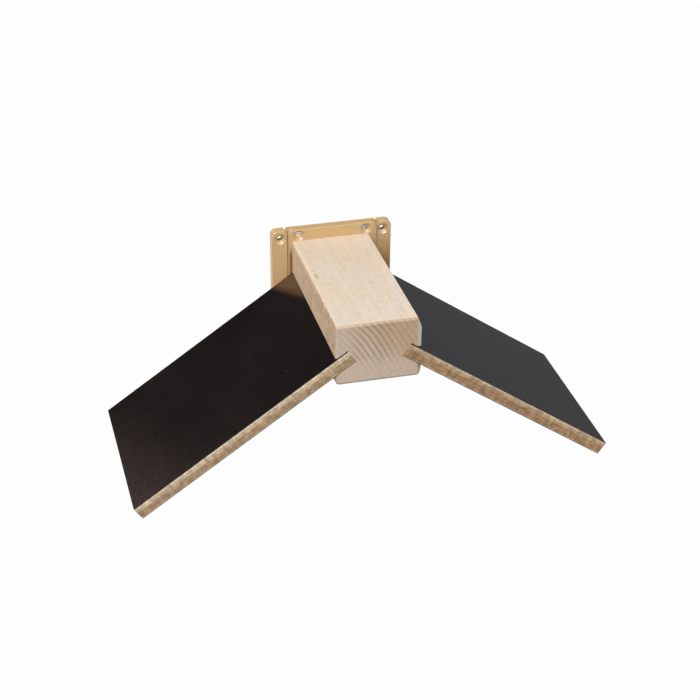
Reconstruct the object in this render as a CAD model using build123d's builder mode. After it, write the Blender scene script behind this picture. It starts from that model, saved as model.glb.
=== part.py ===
from build123d import *
from math import cos, radians, sin
import os

# A roof-shaped perch for a pigeon loft. A softwood block carries a film-faced plywood wing on each
# side, glued into a sloping groove. The block is screwed to a plastic plate, and a wider tongue behind
# that plate drops into the T channel of a plate that is screwed to the wall. To clean the perch it is
# lifted straight up out of the channel.
#
# Frame: millimetres, +Z up, +Y into the wall, +X to the right of a person who faces the wall. The
# origin is the centre of the wall plate's back face, so the wall is the plane y = 0.

# Softwood block
block_width = 58.0
block_height = 44.0
block_length = 124.0
block_axis_z = 2.5
upper_arris = 2.0
lower_arris = 4.0
front_bevel = 1.2
front_side_bevel = 4.0
front_under_bevel = 2.5
planed_bevel_width = 3.7
planed_bevel_height = 9.0

# Wings: plywood core with a film on both faces
core_thickness = 9.0
film_thickness = 0.35
wing_slope = 34.7
wing_reach = 164.0
wing_tenon = 10.0
wing_drop = 24.3
groove_gap = 0.6

# Hanger: depths are counted from the wall
hanger_depth = 9.0
perch_plate_thickness = 4.5
tongue_thickness = 2.8
wall_plate_depth = 6.5
wall_web = 1.5
slide_gap = 0.2
side_gap = 0.3
moulded_round = 0.6

perch_plate_width = 63.0
perch_plate_height = 61.0
perch_plate_corner = 3.5

tongue_width = 66.0
tongue_bottom = -27.6
tongue_top = 31.0
tongue_corner = 2.5

wall_plate_width = 85.4
wall_plate_height = 63.2
wall_plate_corner = 4.0
lead_in_width = 2.0
lead_in_height = 2.5

# Wall screw holes, open for the user's own screws
wall_hole_radius = 2.0
wall_sink_radius = 4.0
wall_hole_spacing_x = 73.5
wall_hole_spacing_z = 51.0

# Corner screws, 2.2 mm, which hold the tongue to the perch plate from the bottom of deep sunk holes
corner_spacing_x = 48.0
corner_spacing_z = 51.7
corner_radius = 1.1
corner_head_radius = 1.95
corner_head_depth = 2.4
corner_sink_radius = 4.0
corner_length = 4.6
screw_tip = 0.4
corner_slot = (2.4, 0.5, 0.6)

# Block screws, 4 mm wood screws, which hold the perch plate to the block's end grain
block_screw_spacing_x = 32.0
block_screw_spacing_z = 26.0
block_screw_radius = 2.0
block_screw_head_radius = 3.8
block_screw_length = 35.0
block_screw_shank = 9.0
block_screw_point = 4.0
thread_pitch = 1.8
thread_depth = 0.55
thread_groove = (0.25, 0.55)
block_screw_slot = (4.6, 0.9, 1.2)

screw_gap = 0.03
sink_angle = 90
slot_taper = 8

# Worked out from the sizes above
thread_root = block_screw_radius - thread_depth
block_screw_head_depth = block_screw_head_radius - block_screw_radius
slope = radians(wing_slope)
board_thickness = core_thickness + 2 * film_thickness
block_side = block_width / 2
block_top = block_axis_z + block_height / 2
block_bottom = block_axis_z - block_height / 2
block_front_y = -hanger_depth - block_length
wing_line_z = block_top - wing_drop
perch_plate_back = hanger_depth - perch_plate_thickness
tongue_back = perch_plate_back - tongue_thickness
mouth_half = perch_plate_width / 2 + side_gap
undercut_half = tongue_width / 2 + side_gap
lip_back = perch_plate_back + slide_gap
wall_top = wall_plate_height / 2

wall_plane = Plane.XZ
perch_plane = Plane((0, 0, block_axis_z), x_dir=(1, 0, 0), z_dir=(0, -1, 0))
block_back = perch_plane.offset(hanger_depth)

os.makedirs("parts", exist_ok=True)


def save(piece, name):
    piece.part.label = name
    export_step(piece.part, f"parts/{name}.step")


def grid_spots(spacing_x, spacing_z):
    """The corners (x, z) of a rectangle about the block's axis, in the wall plate's frame."""
    return [
        (column * spacing_x / 2, block_axis_z + row * spacing_z / 2)
        for row in (1, -1)
        for column in (-1, 1)
    ]


def wing_strip(side, start, end, top, bottom):
    """End-view corners of a strip down one wing's slope, measured from the block's side and from
    the board's top surface."""
    corners = []
    for along, below in ((start, top), (end, top), (end, bottom), (start, bottom)):
        x = block_side + along * cos(slope) - below * sin(slope)
        z = wing_line_z - block_axis_z - along * sin(slope) - below * cos(slope)
        corners.append((side * x, z))
    return corners[::side]


# The block: planed timber with rounded long arrises, a groove for each wing and four pilot holes
with BuildPart() as perch_block:
    with BuildSketch(block_back) as end_view:
        Rectangle(block_width, block_height)
        fillet(end_view.vertices().group_by(Axis.Y)[0], lower_arris)
        fillet(end_view.vertices().group_by(Axis.Y)[-1], upper_arris)
    extrude(amount=block_length)
    chamfer(perch_block.faces().sort_by(Axis.Y)[0].edges(), front_bevel)
    with BuildSketch(Plane.XY.offset(block_axis_z)):
        Polygon(
            (block_side, block_front_y),
            (block_side, block_front_y + front_side_bevel),
            (block_side - front_side_bevel, block_front_y),
            align=None,
        )
    extrude(amount=block_height, both=True, mode=Mode.SUBTRACT)
    with BuildSketch(Plane.YZ):
        Polygon(
            (block_front_y, block_bottom),
            (block_front_y + front_under_bevel, block_bottom),
            (block_front_y, block_bottom + front_under_bevel),
            align=None,
        )
    extrude(amount=block_width, both=True, mode=Mode.SUBTRACT)
    with BuildSketch(block_back):
        Polygon(
            (block_side, block_height / 2),
            (block_side - planed_bevel_width, block_height / 2),
            (block_side, block_height / 2 - planed_bevel_height),
            align=None,
        )
    extrude(amount=block_length, mode=Mode.SUBTRACT)
    with BuildSketch(block_back):
        for side in (-1, 1):
            Polygon(
                *wing_strip(side, -wing_tenon, wing_reach, -groove_gap, board_thickness),
                align=None,
            )
    extrude(amount=block_length, mode=Mode.SUBTRACT)
    with BuildSketch(block_back):
        with GridLocations(block_screw_spacing_x, block_screw_spacing_z, 2, 2):
            Circle(block_screw_radius + screw_gap)
    pilot_depth = block_screw_length - perch_plate_thickness + screw_gap
    extrude(amount=pilot_depth, mode=Mode.SUBTRACT)
save(perch_block, "perch_block")


# The wings: each board is a core and two films, all cut off square together
layers = {
    "top_film": (0, film_thickness),
    "core": (film_thickness, film_thickness + core_thickness),
    "bottom_film": (film_thickness + core_thickness, board_thickness),
}
for side_name, side in (("left", -1), ("right", 1)):
    for layer_name, (top, bottom) in layers.items():
        with BuildPart() as wing_layer:
            with BuildSketch(block_back):
                Polygon(*wing_strip(side, -wing_tenon, wing_reach, top, bottom), align=None)
            extrude(amount=block_length)
        save(wing_layer, f"{side_name}_wing_{layer_name}")


# The plate on the block's back end
with BuildPart() as perch_plate:
    with BuildSketch(perch_plane.offset(perch_plate_back)):
        RectangleRounded(perch_plate_width, perch_plate_height, perch_plate_corner)
    extrude(amount=perch_plate_thickness)
    fillet(perch_plate.faces().sort_by(Axis.Y)[0].edges(), moulded_round)
    with Locations(block_back):
        with GridLocations(corner_spacing_x, corner_spacing_z, 2, 2):
            CounterSinkHole(
                radius=corner_head_radius + screw_gap,
                counter_sink_radius=corner_sink_radius,
                depth=corner_head_depth,
                counter_sink_angle=sink_angle,
            )
    with Locations(block_back.offset(-corner_head_depth)):
        with GridLocations(corner_spacing_x, corner_spacing_z, 2, 2):
            CounterSinkHole(
                radius=corner_radius + screw_gap,
                counter_sink_radius=corner_head_radius + screw_gap,
                counter_sink_angle=sink_angle,
            )
    with Locations(Plane((0, -perch_plate_back, block_axis_z), x_dir=(1, 0, 0), z_dir=(0, 1, 0))):
        with GridLocations(block_screw_spacing_x, block_screw_spacing_z, 2, 2):
            CounterSinkHole(
                radius=block_screw_radius + screw_gap,
                counter_sink_radius=block_screw_head_radius + screw_gap,
                counter_sink_angle=sink_angle,
            )
save(perch_plate, "perch_plate")


# The tongue behind it, wider than the plate, so that it is caught behind the channel's lips
with BuildPart() as slide_tongue:
    with BuildSketch(wall_plane.offset(tongue_back)):
        with Locations((0, (tongue_top + tongue_bottom) / 2)):
            Rectangle(tongue_width, tongue_top - tongue_bottom)
        chamfer(vertices(), tongue_corner)
    extrude(amount=tongue_thickness)
    with BuildSketch(perch_plane.offset(tongue_back)):
        with GridLocations(corner_spacing_x, corner_spacing_z, 2, 2):
            Circle(corner_radius + screw_gap)
    extrude(amount=tongue_thickness, mode=Mode.SUBTRACT)
save(slide_tongue, "slide_tongue")


# The wall plate: a T channel, open at the top and closed by a floor at the bottom, between two ears
with BuildPart() as wall_plate:
    with BuildSketch(wall_plane):
        RectangleRounded(wall_plate_width, wall_plate_height, wall_plate_corner)
    extrude(amount=wall_plate_depth)
    fillet(wall_plate.faces().sort_by(Axis.Y)[0].edges(), moulded_round)
    with BuildSketch(wall_plane.offset(perch_plate_back - slide_gap)):
        Rectangle(2 * mouth_half, wall_plate_height)
    extrude(amount=wall_plate_depth, mode=Mode.SUBTRACT)
    with BuildSketch(wall_plane.offset(wall_web)):
        with Locations((0, (wall_top + tongue_bottom) / 2)):
            Rectangle(2 * undercut_half, wall_top - tongue_bottom)
    extrude(amount=lip_back - wall_web, mode=Mode.SUBTRACT)
    with BuildSketch(wall_plane):
        for side in (-1, 1):
            lead_in = [
                (side * mouth_half, wall_top),
                (side * mouth_half, wall_top - lead_in_height),
                (side * (mouth_half + lead_in_width), wall_top),
            ]
            Polygon(*lead_in[::side], align=None)
    extrude(amount=wall_plate_depth, mode=Mode.SUBTRACT)
    with Locations(wall_plane.offset(wall_plate_depth)):
        with GridLocations(wall_hole_spacing_x, wall_hole_spacing_z, 2, 2):
            CounterSinkHole(
                radius=wall_hole_radius,
                counter_sink_radius=wall_sink_radius,
                counter_sink_angle=sink_angle,
            )
save(wall_plate, "wall_plate")


def screw(tip_side, spot, outline, slot):
    """A screw turned from its half outline, with a cross recess. The outline is (radius, depth below
    the head's top), spot is the head's top centre, and tip_side is +1 where the tip points at the
    wall and -1 where it points at the block."""
    slot_length, slot_width, slot_depth = slot
    with BuildPart() as piece:
        with BuildSketch(Plane(spot, x_dir=(1, 0, 0), z_dir=(0, 0, tip_side))):
            Polygon(*outline, align=None)
        revolve(axis=Axis(spot, (0, 1, 0)))
        with BuildSketch(Plane(spot, x_dir=(1, 0, 0), z_dir=(0, -tip_side, 0))):
            for turn in (0, 90):
                Rectangle(slot_length, slot_width, rotation=turn)
        extrude(amount=-slot_depth, taper=slot_taper, mode=Mode.SUBTRACT)
    return piece


# The four corner screws: countersunk, their heads well below the perch plate's face
corner_outline = [
    (0, 0),
    (corner_head_radius, 0),
    (corner_radius, corner_head_radius - corner_radius),
    (corner_radius, corner_length - screw_tip),
    (corner_radius - screw_tip, corner_length),
    (0, corner_length),
]
for number, (x, z) in enumerate(grid_spots(corner_spacing_x, corner_spacing_z), start=1):
    head_top = (x, corner_head_depth - hanger_depth, z)
    save(screw(1, head_top, corner_outline, corner_slot), f"corner_screw_{number}")


# The four block screws: countersunk wood screws, driven from behind the perch plate before the tongue
# covers their heads. The thread is a stack of rings, which has its true root, crest and pitch.
thread_start = block_screw_head_depth + block_screw_shank
ring_count = int((block_screw_length - thread_start - block_screw_point) / thread_pitch)
block_outline = [
    (0, 0),
    (block_screw_head_radius, 0),
    (block_screw_radius, block_screw_head_depth),
    (block_screw_radius, thread_start),
]
groove_start, groove_end = thread_groove
for ring in range(ring_count):
    ring_start = thread_start + ring * thread_pitch
    block_outline += [
        (thread_root, ring_start + groove_start * thread_pitch),
        (thread_root, ring_start + groove_end * thread_pitch),
        (block_screw_radius, ring_start + thread_pitch),
    ]
block_outline += [
    (thread_root, thread_start + (ring_count + groove_start) * thread_pitch),
    (0, block_screw_length),
]
for number, (x, z) in enumerate(grid_spots(block_screw_spacing_x, block_screw_spacing_z), start=1):
    head_top = (x, -perch_plate_back, z)
    save(screw(-1, head_top, block_outline, block_screw_slot), f"block_screw_{number}")
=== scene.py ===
import math

import bpy
from mathutils import Matrix, Vector


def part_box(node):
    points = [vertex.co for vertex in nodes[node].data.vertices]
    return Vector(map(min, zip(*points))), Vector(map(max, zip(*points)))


# A roof-shaped pigeon perch: a softwood block, two film-faced plywood wings and a tan plastic hanger.
# Places are in metres, in the row frame: +Z up, +Y into the wall, origin on the wall. Materials count
# in millimetres, and colours are written as they look on a screen, 0 to 255.
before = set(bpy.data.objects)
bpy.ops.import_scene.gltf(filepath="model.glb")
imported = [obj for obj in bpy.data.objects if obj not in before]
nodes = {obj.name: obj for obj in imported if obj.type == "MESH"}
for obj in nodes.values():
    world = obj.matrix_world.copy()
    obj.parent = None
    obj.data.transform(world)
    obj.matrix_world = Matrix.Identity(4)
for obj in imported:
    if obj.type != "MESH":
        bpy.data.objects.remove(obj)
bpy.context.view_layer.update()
MM = 0.001


def linear(red, green, blue):
    """A colour as it looks on a screen, 0 to 255 each, as the linear colour that shaders use."""
    parts = []
    for part in (red, green, blue):
        part /= 255
        parts.append(part / 12.92 if part <= 0.04045 else ((part + 0.055) / 1.055) ** 2.4)
    return (*parts, 1.0)


class Graph:
    """One material's node tree, with a short call for each kind of node used below."""

    def __init__(self, name):
        self.material = bpy.data.materials.new(name)
        self.material.use_nodes = True
        self.tree = self.material.node_tree
        self.tree.nodes.clear()
        self.shader = self.tree.nodes.new("ShaderNodeBsdfPrincipled")
        output = self.tree.nodes.new("ShaderNodeOutputMaterial")
        self.tree.links.new(self.shader.outputs[0], output.inputs["Surface"])
        self.coordinates = self.tree.nodes.new("ShaderNodeTexCoord")

    def normal(self):
        """The surface's own direction, as its X, Y and Z."""
        return self.split(self.coordinates.outputs["Normal"])

    def feed(self, socket, value):
        """Link value to the socket if it comes from a node, and else set it there."""
        if isinstance(value, bpy.types.NodeSocket):
            self.tree.links.new(value, socket)
        else:
            socket.default_value = value

    def node(self, kind, inputs, **settings):
        made = self.tree.nodes.new(kind)
        for key, value in settings.items():
            setattr(made, key, value)
        for key, value in inputs.items():
            self.feed(made.inputs[key], value)
        return made

    def millimetres(self, origin=(0, 0, 0), turn=(0, 0, 0), scale=(1, 1, 1)):
        """The surface point's place in millimetres, counted from origin along turned, scaled axes."""
        moved = self.vector("SUBTRACT", self.coordinates.outputs["Object"], origin)
        turned = self.node(
            "ShaderNodeVectorRotate", {"Vector": moved, "Rotation": turn}, rotation_type="EULER_XYZ"
        ).outputs[0]
        return self.vector("MULTIPLY", turned, [part / MM for part in scale])

    def vector(self, operation, first, second=(0, 0, 0)):
        made = self.node("ShaderNodeVectorMath", {0: first, 1: second}, operation=operation)
        return made.outputs["Value" if operation == "LENGTH" else "Vector"]

    def split(self, vector):
        return self.node("ShaderNodeSeparateXYZ", {0: vector}).outputs

    def join(self, x, y, z):
        return self.node("ShaderNodeCombineXYZ", {0: x, 1: y, 2: z}).outputs[0]

    def math(self, operation, first, second=0.0, third=0.0):
        inputs = {0: first, 1: second}
        if operation == "MULTIPLY_ADD":
            inputs[2] = third
        return self.node("ShaderNodeMath", inputs, operation=operation).outputs[0]

    def noise(self, place, stretch=(1, 1, 1), scale=1.0, detail=2.0, rough=0.5, warp=0.0):
        """Noise from 0 to 1. scale is in features per millimetre."""
        inputs = {
            "Vector": self.vector("MULTIPLY", place, stretch),
            "Scale": scale,
            "Detail": detail,
            "Roughness": rough,
            "Distortion": warp,
        }
        return self.node("ShaderNodeTexNoise", inputs).outputs["Fac"]

    def ease(self, value, low, high, out_low=0.0, out_high=1.0):
        """value, mapped smoothly from low..high to out_low..out_high, and held outside that."""
        inputs = {"Value": value, "From Min": low, "From Max": high, "To Min": out_low, "To Max": out_high}
        return self.node("ShaderNodeMapRange", inputs, interpolation_type="SMOOTHSTEP").outputs[0]

    def ramp(self, value, *stops):
        """The colour or grey at value, from (position, colour) stops."""
        made = self.node("ShaderNodeValToRGB", {"Fac": value})
        elements = made.color_ramp.elements
        while len(elements) < len(stops):
            elements.new(1.0)
        for element, (position, colour) in zip(elements, stops):
            element.position = position
            element.color = colour if hasattr(colour, "__len__") else (colour, colour, colour, 1.0)
        return made.outputs["Color"]

    def mix(self, share, first, second, blend="MIX"):
        made = self.node("ShaderNodeMix", {}, data_type="RGBA", blend_type=blend)
        self.feed(made.inputs["Factor"], share)
        self.feed(made.inputs[6], first)
        self.feed(made.inputs[7], second)
        return made.outputs[2]

    def blend(self, share, first, second):
        """A number between first and second."""
        made = self.node("ShaderNodeMix", {}, data_type="FLOAT")
        for socket, value in zip(made.inputs[:1] + made.inputs[2:4], (share, first, second)):
            self.feed(socket, value)
        return made.outputs[0]

    def shade(self, colour, value, amount):
        """colour, made darker or lighter by up to amount as value goes from 0 to 1 about 0.5."""
        grey = self.math("MULTIPLY_ADD", value, amount * 2, 1 - amount)
        return self.mix(1.0, colour, self.join(grey, grey, grey), "MULTIPLY")

    def bump(self, height, depth, under=None):
        """A bump whose full height is depth millimetres."""
        inputs = {"Height": height, "Distance": depth * MM, "Strength": 1.0}
        if under is not None:
            inputs["Normal"] = under
        return self.node("ShaderNodeBump", inputs).outputs[0]

    def finish(self, **sockets):
        for key, value in sockets.items():
            self.feed(self.shader.inputs[key.replace("_", " ")], value)
        return self.material


def wear(material, *names):
    """Give the named nodes this material and no other."""
    for name in names:
        mesh = nodes[name].data
        mesh.materials.clear()
        mesh.materials.append(material)


# ---------------------------------------------------------------- softwood block
block_low, block_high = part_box("perch_block")


def growth_rings(g):
    """Millimetres in the tree the block was sawn from, and how much a point is in dark late wood."""
    # The pith runs along the block, far down on its left, and is not quite parallel to it, so that the
    # growth rings drift over the long faces.
    pith = Vector((block_low.x - 75 * MM, block_low.y, block_low.z - 37 * MM))
    tilt = (math.radians(0.9), 0, math.radians(-1.3))
    place = g.millimetres(pith, tilt)
    # The rings sway in long waves and tremble in short ones
    sway, sway_reach = g.noise(place, (1, 0.16, 1), 0.03, 2), 3.0
    tremble, tremble_reach = g.noise(place, (1, 0.05, 1), 0.35, 3, 0.6), 0.8
    radius = g.vector("LENGTH", g.vector("MULTIPLY", place, (1, 0, 1)))
    radius = g.math("MULTIPLY_ADD", sway, sway_reach, radius)
    radius = g.math("MULTIPLY_ADD", tremble, tremble_reach, radius)
    ring_width = 3.5
    ring = g.math("FRACT", g.math("DIVIDE", radius, ring_width))
    # Each ring darkens slowly outwards and ends sharply
    late = g.ramp(ring, (0.0, 0.25), (0.10, 0.0), (0.45, 0.06), (0.75, 0.7), (0.90, 1.0), (1.0, 0.25))
    return place, late


def long_faces(g, place, late, fibre, streak, spots, blotch):
    """The colour of the block's long faces."""
    facing = g.normal()
    flank = g.math("MAXIMUM", g.ease(facing[0], 0.75, 0.95), g.ease(facing[0], -0.45, -0.85))
    # The planed top is pale, in patches of warmer and greyer wood
    patch = g.noise(place, (1, 0.28, 1), 0.07, 4, 0.6)
    colour = g.mix(g.ease(patch, 0.32, 0.68), linear(236, 218, 196), linear(231, 221, 208))
    # The flanks are as the saw left them, and darker
    saw_marks = g.noise(place, (0.3, 0.75, 0.22), 0.42, 4, 0.6, 0.6)
    flank_colour = g.shade(linear(204, 179, 153), g.ease(saw_marks, 0.3, 0.7), 0.14)
    flank_colour = g.shade(flank_colour, g.ease(spots, 0.3, 0.7), 0.17)
    colour = g.mix(flank, colour, flank_colour)
    # Painted shade: the wood is painted darker and yellower, the more the nearer it is to the wall
    toward_wall = g.split(g.coordinates.outputs["Object"])[1]
    painted_shade_near_wall = g.math("MULTIPLY", g.ease(toward_wall, block_low.y, block_high.y), 0.5)
    colour = g.mix(painted_shade_near_wall, colour, linear(218, 197, 168))
    colour = g.mix(g.math("MULTIPLY", late, 0.07), colour, linear(200, 168, 134))
    colour = g.mix(g.ease(spots, 0.5, 0.72, 0.0, 0.35), colour, linear(214, 184, 152))
    fleck = g.noise(place, (1, 0.25, 1), 0.9, 3, 0.6)
    for texture, amount in ((streak, 0.12), (fibre, 0.06), (fleck, 0.08), (blotch, 0.08)):
        colour = g.shade(colour, texture, amount)
    return colour


def sawn_end(g, place, late, pore, drag, blotch):
    """The colour of the block's sawn ends, and the late wood that shows there."""
    # The upper right is browner
    across, _, height = g.split(g.millimetres())
    corner = g.math("MULTIPLY_ADD", height, 1.2, across)
    colour = g.mix(g.ease(corner, -4.0, 34.0, 0.0, 0.7), linear(202, 182, 163), linear(184, 154, 120))
    # The saw has smeared the lower half, where the rings hardly show, and they are weaker at the sides
    shown = g.math("MULTIPLY", late, g.ease(height, -9.0, 3.0, 0.15, 1.0))
    shown = g.math("MULTIPLY", shown, g.ease(across, -24.0, -10.0, 0.25, 1.0))
    shown = g.math("MULTIPLY", shown, g.ease(across, 2.0, 16.0, 1.0, 0.5))
    shown = g.math("MULTIPLY", shown, g.ease(pore, 0.35, 0.62, 0.5, 1.0))
    colour = g.mix(g.math("MULTIPLY", shown, 0.9), colour, linear(148, 112, 78))
    crumb = g.noise(place, (1, 1, 1), 0.75, 3, 0.65)
    for texture, amount in ((pore, 0.18), (drag, 0.08), (crumb, 0.20), (blotch, 0.08)):
        colour = g.shade(colour, texture, amount)
    return colour, shown


def softwood():
    """Planed top, sawn flanks and ends, growth rings and a pin knot."""
    g = Graph("softwood_block")
    place, late = growth_rings(g)
    fibre = g.noise(place, (1, 0.012, 1), 1.6, 4, 0.6)
    streak = g.noise(place, (1, 0.035, 1), 0.30, 4, 0.6, 0.4)
    blotch = g.noise(place, (1, 0.35, 1), 0.05, 3)
    pore = g.noise(place, (1, 0.02, 1), 4.0, 3, 0.7)
    spots = g.noise(place, (1, 0.55, 1), 0.28, 3, 0.55)
    drag = g.noise(place, (1, 1, 0.08), 0.8, 3, 0.6)
    strength = g.noise(place, (1, 0.2, 1), 0.07, 3)
    late_along = g.math("MULTIPLY", late, g.ease(strength, 0.38, 0.62, 0.1, 1.0))

    colour = long_faces(g, place, late_along, fibre, streak, spots, blotch)
    end_colour, late_end = sawn_end(g, place, late, pore, drag, blotch)
    # End grain also shows on the sawn arrises above the end and on its left, but not on the planed ones
    facing = g.normal()
    sawn = g.math("SUBTRACT", facing[2], facing[0])
    end = g.math("MULTIPLY_ADD", sawn, 0.2, g.math("ABSOLUTE", facing[1]))
    end = g.ease(end, 0.66, 0.90)
    colour = g.mix(end, colour, end_colour)

    # The pin knot is on the top face, near the left arris, and drawn out along the grain
    knot_at = Vector((block_low.x + 4.3 * MM, block_low.y + 70.0 * MM, block_high.z))
    knot = g.vector("LENGTH", g.vector("MULTIPLY", g.millimetres(knot_at), (1.0, 0.42, 0.05)))
    knot = g.math("MULTIPLY_ADD", fibre, 1.2, knot)
    colour = g.mix(g.ease(knot, 0.7, 3.0, 0.5, 0.0), colour, linear(170, 130, 90))

    normal = g.bump(g.blend(end, fibre, g.blend(0.5, pore, drag)), 0.04)
    normal = g.bump(g.blend(end, late_along, late_end), 0.012, normal)
    rough = g.blend(end, g.ease(streak, 0.2, 0.8, 0.52, 0.68), 0.85)
    return g.finish(Base_Color=colour, Roughness=rough, Normal=normal, IOR=1.45)


wear(softwood(), "perch_block")


# ---------------------------------------------------------------- plywood wings
def board(side):
    """One wing's core as its mesh has it: its top inner corner, its slope and its thickness."""
    name = "left_wing_core" if side < 0 else "right_wing_core"
    points = [vertex.co for vertex in nodes[name].data.vertices]
    inner = max(points, key=lambda point: point.z)
    outer = max(points, key=lambda point: side * point.x)
    slope = math.atan2(inner.z - outer.z, abs(outer.x - inner.x))
    lowest = min(points, key=lambda point: point.z)
    thickness = math.hypot(lowest.x - outer.x, lowest.z - outer.z)
    return inner.copy(), slope, thickness


def along_board(g, side):
    """Millimetres on one wing: x down its slope, y to the wall, z up through it from its core's top."""
    inner, slope, _ = board(side)
    return g.millimetres(inner, (0, -side * slope, 0), (side, 1, 1))


def plywood(side, name, *tones):
    """A plywood core. tones are the colours of its cut edges, from the top face down."""
    g = Graph(name)
    _, _, thickness = board(side)
    plies = 7
    ply = thickness / MM / plies
    place = along_board(g, side)
    x, y, z = g.split(place)
    # The glue lines wander a little up and down
    wander, wander_reach = g.noise(place, (0.12, 0.12, 0.3), 1.0, 2), 0.5
    level_depth = g.math("MULTIPLY_ADD", z, -1.0, wander_reach / 2)
    depth = g.math("MULTIPLY_ADD", wander, -wander_reach, level_depth)
    layer = g.math("DIVIDE", depth, ply)
    index = g.math("FLOOR", layer)
    inside = g.math("FRACT", layer)
    odd = g.math("MODULO", index, 2.0)

    # Each ply is a veneer with its own tone. Its grain runs down the slope in one ply, and to the wall
    # in the next, so that every cut edge shows long grain and end grain in turn.
    tone = g.node("ShaderNodeTexWhiteNoise", {"W": index}, noise_dimensions="1D").outputs["Value"]
    apart = 37.0
    shift = g.math("MULTIPLY", index, apart)
    own = g.join(g.math("ADD", x, shift), g.math("ADD", y, shift), z)
    down = g.noise(own, (0.03, 0.8, 0.8), 1.6, 4, 0.6)
    back = g.noise(own, (0.8, 0.03, 0.8), 1.6, 4, 0.6)
    grain = g.blend(odd, down, back)
    # 1 on the front and back edges, 0 on the wing's outer edge
    front_or_back = g.ease(g.math("ABSOLUTE", g.normal()[1]), 0.4, 0.8)
    end = g.blend(odd, g.math("SUBTRACT", 1.0, front_or_back), front_or_back)

    level = g.math("DIVIDE", depth, thickness / MM)
    tone_levels = (0.20, 0.40, 0.57, 0.80)
    colour = g.ramp(level, *zip(tone_levels, tones))
    colour = g.shade(colour, tone, 0.06)
    colour = g.shade(colour, grain, 0.24)
    cut_end = g.mix(1.0, colour, linear(240, 230, 220), "MULTIPLY")
    colour = g.mix(g.math("MULTIPLY", end, 0.85), colour, cut_end)
    from_middle = g.math("ABSOLUTE", g.math("SUBTRACT", inside, 0.5))
    glue = g.ease(from_middle, 0.43, 0.49)
    colour = g.mix(g.math("MULTIPLY", glue, 0.28), colour, linear(112, 78, 50))
    stain = g.noise(place, (0.05, 0.05, 0.2), 1.0, 3)
    colour = g.shade(colour, stain, 0.12)
    # Torn places and saw chatter along the cut edge
    tear = g.noise(place, (0.2, 0.2, 0.28), 1.0, 5, 0.62)
    colour = g.shade(colour, g.ease(tear, 0.36, 0.64), 0.23)
    chatter = g.noise(place, (0.42, 0.42, 0.09), 1.0, 2, 0.5, 0.5)
    colour = g.shade(colour, g.ease(chatter, 0.32, 0.68), 0.12)

    normal = g.bump(grain, 0.10)
    normal = g.bump(g.math("MULTIPLY", glue, -1.0), 0.06, normal)
    rough = g.ease(grain, 0.2, 0.8, 0.62, 0.85)
    return g.finish(Base_Color=colour, Roughness=rough, Normal=normal, IOR=1.45)


def film(side, name, tint, sheen_tint):
    """Dark film on one wing's faces: the first colour where it is darkest, the second where a painted
    sheen lightens it most.
    """
    g = Graph(name)
    place = along_board(g, side)
    x, y, _ = g.split(place)
    # Film pressed on veneer: the veneer's grain shows through as a faint change of gloss
    relief = g.noise(place, (0.05, 0.5, 0.3), 0.5, 1, 0.5)
    orange_peel = g.noise(place, (1, 1, 1), 0.8, 1)
    mottle = g.noise(place, (1, 1, 1), 0.35, 5, 0.65)
    cloud = g.noise(place, (1, 0.6, 1), 0.018, 3)
    # A painted sheen lightens it most at the outer front corner, and the film is made rougher there too
    per_mm_out, per_mm_back = 0.0046, -0.0026
    sheen_and_dulling = g.math("MULTIPLY_ADD", y, per_mm_back, g.math("MULTIPLY", x, per_mm_out))
    sheen_and_dulling = g.math("ADD", g.ease(sheen_and_dulling, 0.40, 1.05, 0.0, 0.85), g.ease(cloud, 0.35, 0.7, 0.0, 0.09))
    colour = g.mix(sheen_and_dulling, tint, sheen_tint)
    colour = g.shade(colour, g.ease(mottle, 0.3, 0.7), 0.40)
    # A few nicks, each a pale speck
    nicks_per_mm, share_left_out = 0.045, 0.78
    cells = g.node("ShaderNodeTexVoronoi", {"Vector": place, "Scale": nicks_per_mm})
    chosen = g.math("GREATER_THAN", g.split(cells.outputs["Color"])[0], share_left_out)
    nick = g.math("MULTIPLY", chosen, g.ease(cells.outputs["Distance"], 0.015, 0.05, 0.6, 0.0))
    colour = g.mix(nick, colour, linear(120, 98, 88))
    if side < 0:
        # A painted reflection of the tan wall plate, in brown, lies on top in the left corner between the
        # block and the wall plate. It reaches twice as far along the block as it does down the wing, which
        # is hidden in its groove at first.
        inner, slope, _ = board(side)
        back_edge = (block_high.y - inner.y) / MM
        hidden = (block_high.x - abs(inner.x)) / math.cos(slope) / MM
        from_corner = g.math("MULTIPLY_ADD", x, 2.0, g.math("SUBTRACT", back_edge - 2.0 * hidden, y))
        on_top = g.ease(g.normal()[2], 0.1, 0.4)
        painted_reflection = g.math("MULTIPLY", on_top, g.ease(from_corner, 32.0, 42.0, 0.55, 0.0))
        colour = g.mix(painted_reflection, colour, linear(98, 70, 50))
    rough = g.math("MULTIPLY_ADD", sheen_and_dulling, 0.10, 0.20)
    rough = g.math("MULTIPLY_ADD", relief, 0.06, rough)
    rough = g.math("MULTIPLY_ADD", nick, 0.4, rough)
    return g.finish(Base_Color=colour, Roughness=rough, Normal=g.bump(orange_peel, 0.0018), IOR=1.65)


# The cut edges' colours, from the paler veneers under the top film to the browner ones below
left_veneers = linear(217, 201, 175), linear(189, 163, 132), linear(183, 156, 122), linear(171, 147, 116)
right_veneers = linear(197, 174, 144), linear(162, 133, 102), linear(167, 136, 102), linear(167, 136, 101)
wear(plywood(-1, "plywood_left", *left_veneers), "left_wing_core")
wear(plywood(1, "plywood_right", *right_veneers), "right_wing_core")
# The left film is painted darker, as painted shade, and the right one lighter and greyer, as a painted
# sheen
for side, word, tint, sheen_tint in (
    (-1, "left", linear(15, 10, 9), linear(67, 54, 50)),
    (1, "right", linear(34, 30, 34), linear(46, 41, 44)),
):
    dark_film = film(side, f"dark_film_{word}", tint, sheen_tint)
    wear(dark_film, f"{word}_wing_top_film", f"{word}_wing_bottom_film")


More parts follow.
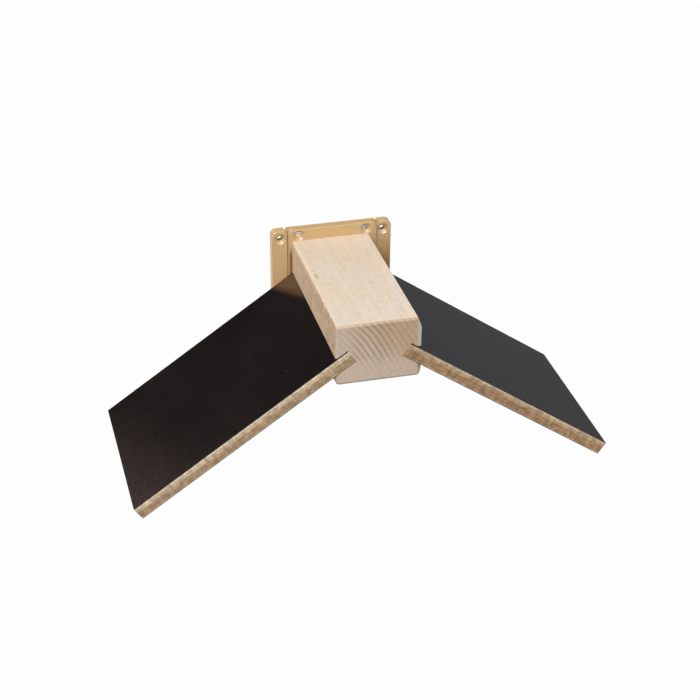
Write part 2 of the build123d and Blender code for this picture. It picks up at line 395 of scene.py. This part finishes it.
# ---------------------------------------------------------------- tan moulded plastic
def painted_shade_beside_block(g, across, height):
    """Painted shade in the corners at the sides of the block, on the front face only."""
    flank = block_high.x / MM
    beside = g.ease(g.math("ABSOLUTE", across), flank + 0.9, flank + 2.6, 0.8, 0.0)
    below = g.ease(height, block_high.z / MM - 12.0, block_high.z / MM - 3.0, 1.0, 0.0)
    in_front = g.ease(g.normal()[1], -0.9, -0.5, 1.0, 0.0)
    return g.math("MULTIPLY", g.math("MULTIPLY", beside, below), in_front)


def painted_shade_on_right_ear(g, across, height):
    """Painted shade, brown, on the wall plate's right ear, which grows stronger downwards."""
    right = g.ease(across, block_high.x / MM + 2.0, block_high.x / MM + 6.0)
    return g.math("MULTIPLY", right, g.ease(height, -6.0, block_high.z / MM + 2.0, 0.72, 0.0))


def moulded(name, tan, where_painted_shade, painted_shade_colour):
    """Tan plastic with flow lines and scuffs, and the given colour laid on as painted shade where the
    given mask says so.
    """
    g = Graph(name)
    place = g.millimetres()
    flow = g.noise(place, (0.05, 0.3, 0.35), 1.0, 3, 0.5, 0.6)
    spark = g.noise(place, (1, 1, 1), 6.0, 2, 0.6)
    cloud = g.noise(place, (1, 1, 1), 0.06, 2)
    colour = g.shade(tan, flow, 0.05)
    colour = g.shade(colour, cloud, 0.05)
    scuff = g.noise(place, (1, 1, 1), 0.7, 5, 0.65, 0.8)
    colour = g.mix(g.ease(scuff, 0.62, 0.78, 0.0, 0.25), colour, linear(236, 214, 178))
    across, _, height = g.split(place)
    # Painted shade, in the given colour, where the given mask says so
    colour = g.mix(where_painted_shade(g, across, height), colour, painted_shade_colour)
    rough = g.math("MULTIPLY_ADD", flow, 0.12, 0.12)
    normal = g.bump(spark, 0.012)
    normal = g.bump(flow, 0.03, normal)
    return g.finish(
        Base_Color=colour,
        Roughness=rough,
        Normal=normal,
        IOR=1.49,
        Subsurface_Weight=0.12,
        Subsurface_Radius=(1.0, 0.55, 0.25),
        Subsurface_Scale=1.2 * MM,
    )


# Painted shade on both plates: on the wall plate's right ear, and on the perch plate beside the block
wall_tan = moulded("tan_plastic_wall", linear(213, 181, 134), painted_shade_on_right_ear, linear(150, 104, 56))
perch_tan = moulded("tan_plastic_perch", linear(207, 175, 129), painted_shade_beside_block, linear(104, 76, 46))
wear(wall_tan, "wall_plate")
wear(perch_tan, "perch_plate", "slide_tongue")


# ---------------------------------------------------------------- zinc screws
def zinc():
    """Bright zinc plate, bluish in places."""
    g = Graph("zinc_plate")
    place = g.millimetres()
    haze = g.noise(place, (1, 1, 1), 0.9, 3, 0.6)
    turned = g.noise(place, (3, 1, 3), 2.4, 3, 0.6)
    blue, white, yellow = linear(214, 227, 248), linear(234, 241, 250), linear(238, 238, 232)
    colour = g.ramp(haze, (0.25, blue), (0.55, white), (0.8, yellow))
    rough = g.math("MULTIPLY_ADD", turned, 0.2, 0.16)
    return g.finish(Base_Color=colour, Roughness=rough, Normal=g.bump(turned, 0.01), Metallic=1.0)


wear(zinc(), *(name for name in nodes if "screw" in name))


# ---------------------------------------------------------------- studio
scene = bpy.context.scene
scene.view_settings.view_transform = "Standard"

floor_mesh = bpy.data.meshes.new("floor")
floor_reach, floor_height = 30.0, -1.0
square = (-1, -1), (1, -1), (1, 1), (-1, 1)
floor_corners = [(x * floor_reach, y * floor_reach, floor_height) for x, y in square]
floor_mesh.from_pydata(floor_corners, [], [(0, 1, 2, 3)])
floor = bpy.data.objects.new("floor", floor_mesh)
scene.collection.objects.link(floor)

# A pale sheet hangs all round, as the six sides of a cube
backdrop_mesh = bpy.data.meshes.new("backdrop")
sheet = 10.0
sheet_corners = [(x * sheet, y * sheet, z * sheet) for x in (-1, 1) for y in (-1, 1) for z in (-1, 1)]
sheet_sides = [(0, 1, 3, 2), (4, 6, 7, 5), (0, 4, 5, 1), (2, 3, 7, 6), (0, 2, 6, 4), (1, 5, 7, 3)]
backdrop_mesh.from_pydata(sheet_corners, [], sheet_sides)
backdrop = bpy.data.objects.new("backdrop", backdrop_mesh)
scene.collection.objects.link(backdrop)

# Floor and sheet glow evenly by themselves, and neither light nor shade the object
pale_grey = 0.985
pale = Graph("pale_studio").finish(
    Base_Color=(0.0, 0.0, 0.0, 1.0),
    Roughness=1.0,
    Specular_IOR_Level=0.0,
    Emission_Color=(pale_grey, pale_grey, pale_grey, 1.0),
    Emission_Strength=1.0,
)
for surround in (floor, backdrop):
    surround.data.materials.append(pale)
    for ray in ("diffuse", "glossy", "transmission", "shadow"):
        setattr(surround, f"visible_{ray}", False)

# The studio round the object is dim, with soft lights in it. Each has a direction, the cosine of the
# angle from there at which it has faded out, its strength, and its colour.
studio_lights = (
    # A wide one above, to the left and in front
    ((-0.35, -0.50, 0.79), -0.05, 0.82, (1.0, 0.98, 0.95)),
    # A weak fill from the front
    ((0.05, -0.90, -0.40), 0.10, 0.11, (0.97, 0.98, 1.0)),
    # A small cool one low in front, which the screw heads mirror
    ((0.22, -0.83, -0.51), 0.92, 1.25, (0.86, 0.94, 1.0)),
    # One at the right, for the planed bevel
    ((0.93, -0.35, 0.05), 0.75, 0.50, (1.0, 0.93, 0.85)),
    # One low behind, for the back and the undersides
    ((0.0, 0.80, -0.60), 0.72, 0.75, (1.0, 0.98, 0.95)),
    # A faint one behind at the right, which the right film mirrors
    ((0.60, 0.80, -0.05), 0.55, 0.115, (0.93, 0.95, 1.0)),
    # A warm one at the left, for the block's left flank
    ((-0.95, 0.30, 0.10), 0.73, 1.08, (1.0, 0.83, 0.69)),
)
gloom = (0.030, 0.028, 0.028)
world = bpy.data.worlds.new("studio")
scene.world = world
world.use_nodes = True
tree = world.node_tree
tree.nodes.clear()
coordinates = tree.nodes.new("ShaderNodeTexCoord")
total = None
for direction, start, strength, colour in studio_lights:
    dot = tree.nodes.new("ShaderNodeVectorMath")
    dot.operation = "DOT_PRODUCT"
    dot.inputs[1].default_value = Vector(direction).normalized()
    tree.links.new(coordinates.outputs["Generated"], dot.inputs[0])
    spread = tree.nodes.new("ShaderNodeMapRange")
    spread.interpolation_type = "SMOOTHSTEP"
    spread.inputs["From Min"].default_value = start
    spread.inputs["To Max"].default_value = strength
    tree.links.new(dot.outputs["Value"], spread.inputs["Value"])
    tinted = tree.nodes.new("ShaderNodeVectorMath")
    tinted.operation = "MULTIPLY_ADD"
    tinted.inputs[1].default_value = colour
    tinted.inputs[2].default_value = gloom
    tree.links.new(spread.outputs[0], tinted.inputs[0])
    if total:
        tree.links.new(total, tinted.inputs[2])
    total = tinted.outputs[0]
sky = tree.nodes.new("ShaderNodeBackground")
out = tree.nodes.new("ShaderNodeOutputWorld")
tree.links.new(total, sky.inputs["Color"])
tree.links.new(sky.outputs[0], out.inputs[0])


def sun(name, towards, strength, softness):
    """A sun that shines towards a direction and is softness degrees wide."""
    lamp = bpy.data.lights.new(name, "SUN")
    lamp.energy = strength
    lamp.angle = math.radians(softness)
    made = bpy.data.objects.new(name, lamp)
    made.rotation_mode = "QUATERNION"
    made.rotation_quaternion = Vector(towards).to_track_quat("-Z", "Y")
    scene.collection.objects.link(made)


sun("key", (0.42, 0.54, -0.73), 1.30, 16)
sun("glint", (-0.14, 0.53, -0.84), 0.52, 6)

# ---------------------------------------------------------------- camera
# Fitted to the photograph. It looks at a point on the plane of the block's front end.
azimuth, elevation, roll = (math.radians(angle) for angle in (-14.862, 30.407, 0.545))
distance = 1.10275
target = Vector((-19.72 * MM, block_low.y, block_high.z - 17.56 * MM))
level_part = math.cos(elevation)
back = Vector((math.sin(azimuth) * level_part, -math.cos(azimuth) * level_part, math.sin(elevation)))
lens = bpy.data.cameras.new("camera")
lens.sensor_width = 36
lens.lens = 88.92
lens.clip_start, lens.clip_end = 0.05, 100
camera = bpy.data.objects.new("camera", lens)
look = (-back).to_track_quat("-Z", "Y").to_matrix().to_4x4() @ Matrix.Rotation(roll, 4, "Z")
camera.matrix_world = Matrix.Translation(target + back * distance) @ look
scene.collection.objects.link(camera)
scene.camera = camera

bpy.context.view_layer.update()
